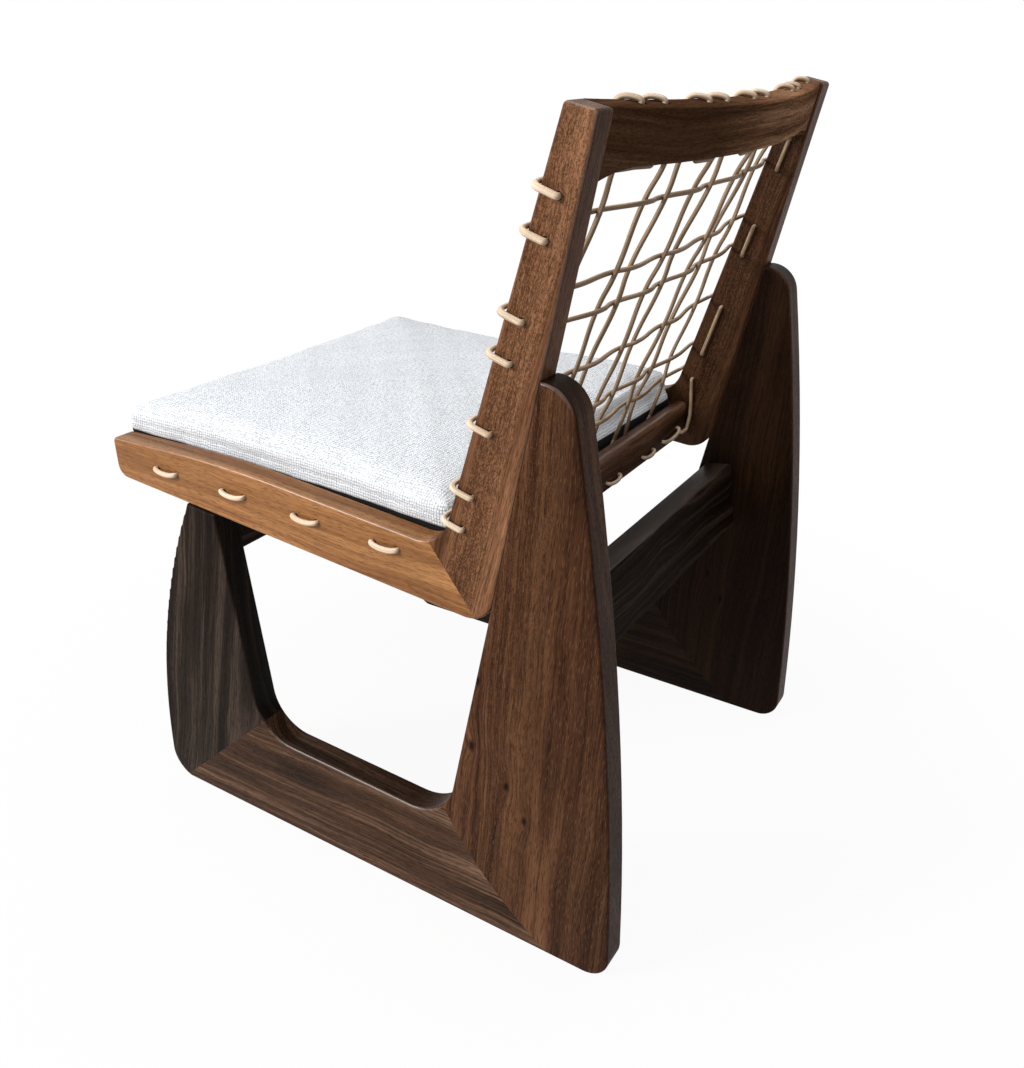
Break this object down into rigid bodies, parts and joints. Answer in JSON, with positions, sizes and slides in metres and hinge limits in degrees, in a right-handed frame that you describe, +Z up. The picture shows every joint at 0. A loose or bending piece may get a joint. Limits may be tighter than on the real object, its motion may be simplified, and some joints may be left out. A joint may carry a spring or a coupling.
{
  "type": "chair",
  "caption": "Low wooden side chair with plank side frames, a back and seat laced with leather cord, and a loose upholstered seat cushion.",
  "frame": {"origin": "on the floor, at the middle of the chair's width and depth", "axes": "+Z up, the sitter faces -Y, +X is the sitter's left"},
  "size_m": [0.5256, 0.6047, 0.785],
  "materials": {
    "walnut_dark": "satin oil",
    "walnut_mid": "satin oil",
    "walnut_honey": "satin oil",
    "dowel_wood": "plain",
    "cord_leather": "natural vegetable tan",
    "seat_fabric": "coarse plain weave",
    "foam": "soft foam"
  },
  "bodies": {
    "chair": {"side_frame_dowels": "dowel_wood", "seat_frame_dowels": "dowel_wood", "stretcher_dowels": "dowel_wood", "cross_rail_dowels": "dowel_wood", "seat_mounting_dowels": "dowel_wood", "back_cross_cord": "cord_leather", "back_upright_cord": "cord_leather", "seat_cord": "cord_leather", "left_seat_rail": "walnut_honey", "right_seat_rail": "walnut_honey", "left_back_stile": "walnut_mid", "right_back_stile": "walnut_mid", "lower_back_rail": "walnut_mid", "front_seat_rail": "walnut_mid", "left_front_post": "walnut_dark", "right_front_post": "walnut_dark", "left_bottom_rail": "walnut_dark", "right_bottom_rail": "walnut_dark", "left_rear_post": "walnut_dark", "right_rear_post": "walnut_dark", "top_rail": "walnut_dark", "front_bearer": "walnut_dark", "rear_stretcher": "walnut_dark"},
    "cushion": {"cushion_cover": "seat_fabric", "cushion_core": "foam"}
  },
  "joints": [
    {"name": "cushion_lift", "type": "slide", "parent": "chair", "child": "cushion", "axis": [0, 0, 1], "range_m": [0, 0.12]}
  ]
}
